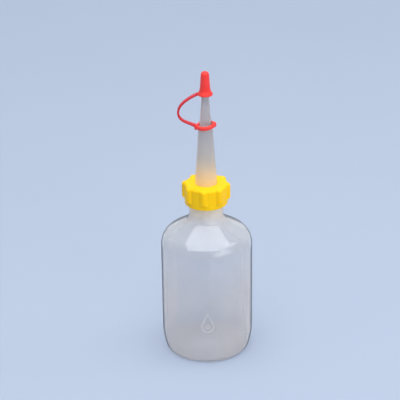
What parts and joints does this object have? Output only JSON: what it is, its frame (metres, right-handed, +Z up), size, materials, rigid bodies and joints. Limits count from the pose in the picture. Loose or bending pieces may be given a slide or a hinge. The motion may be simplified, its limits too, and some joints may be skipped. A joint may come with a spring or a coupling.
{
  "type": "glue applicator bottle",
  "caption": "Round translucent squeeze bottle with a screw collar holding a long tapered nozzle, closed by a captive tip cap on a strap and ring.",
  "frame": {"origin": "centre of the base, on the surface that the bottle stands on", "axes": "+Z up along the bottle's axis, towards the nozzle; the cap's strap lies on the -X side; the front is -Y"},
  "size_m": [0.0624, 0.0624, 0.2051],
  "materials": {
    "natural_ldpe": "translucent unpigmented low-density polyethylene, satin",
    "nozzle_pe": "translucent unpigmented polyethylene, satin",
    "yellow_pe": "opaque yellow polyethylene, semi-gloss",
    "red_pe": "opaque red polyethylene, semi-gloss"
  },
  "bodies": {
    "bottle": {"bottle": "natural_ldpe"},
    "nozzle": {"nozzle": "nozzle_pe"},
    "screw_collar": {"screw_collar": "yellow_pe"},
    "tether": {"tether_ring": "red_pe", "tether_strap": "red_pe"},
    "tip_cap": {"tip_cap": "red_pe"}
  },
  "joints": [
    {"name": "nozzle_lift", "type": "slide", "parent": "bottle", "child": "nozzle", "axis": [0, 0, 1], "range_m": [0, 0.00525]},
    {"name": "collar_unscrew", "type": "hinge", "parent": "nozzle", "child": "screw_collar", "pos_m": [0, 0, 0.1175], "axis": [0, 0, 1], "range_deg": [0, 540]},
    {"name": "tether_swivel", "type": "hinge", "parent": "nozzle", "child": "tether", "pos_m": [0, 0, 0.16645], "axis": [0, 0, 1], "continuous": true},
    {"name": "cap_pull", "type": "slide", "parent": "tether", "child": "tip_cap", "axis": [0, 0, 1], "range_m": [0, 0.013], "deforming": ["tether_strap"]}
  ],
  "couplings": [
    {"joint": "nozzle_lift", "follows": "collar_unscrew", "m_per_rad": 0.00055704}
  ]
}
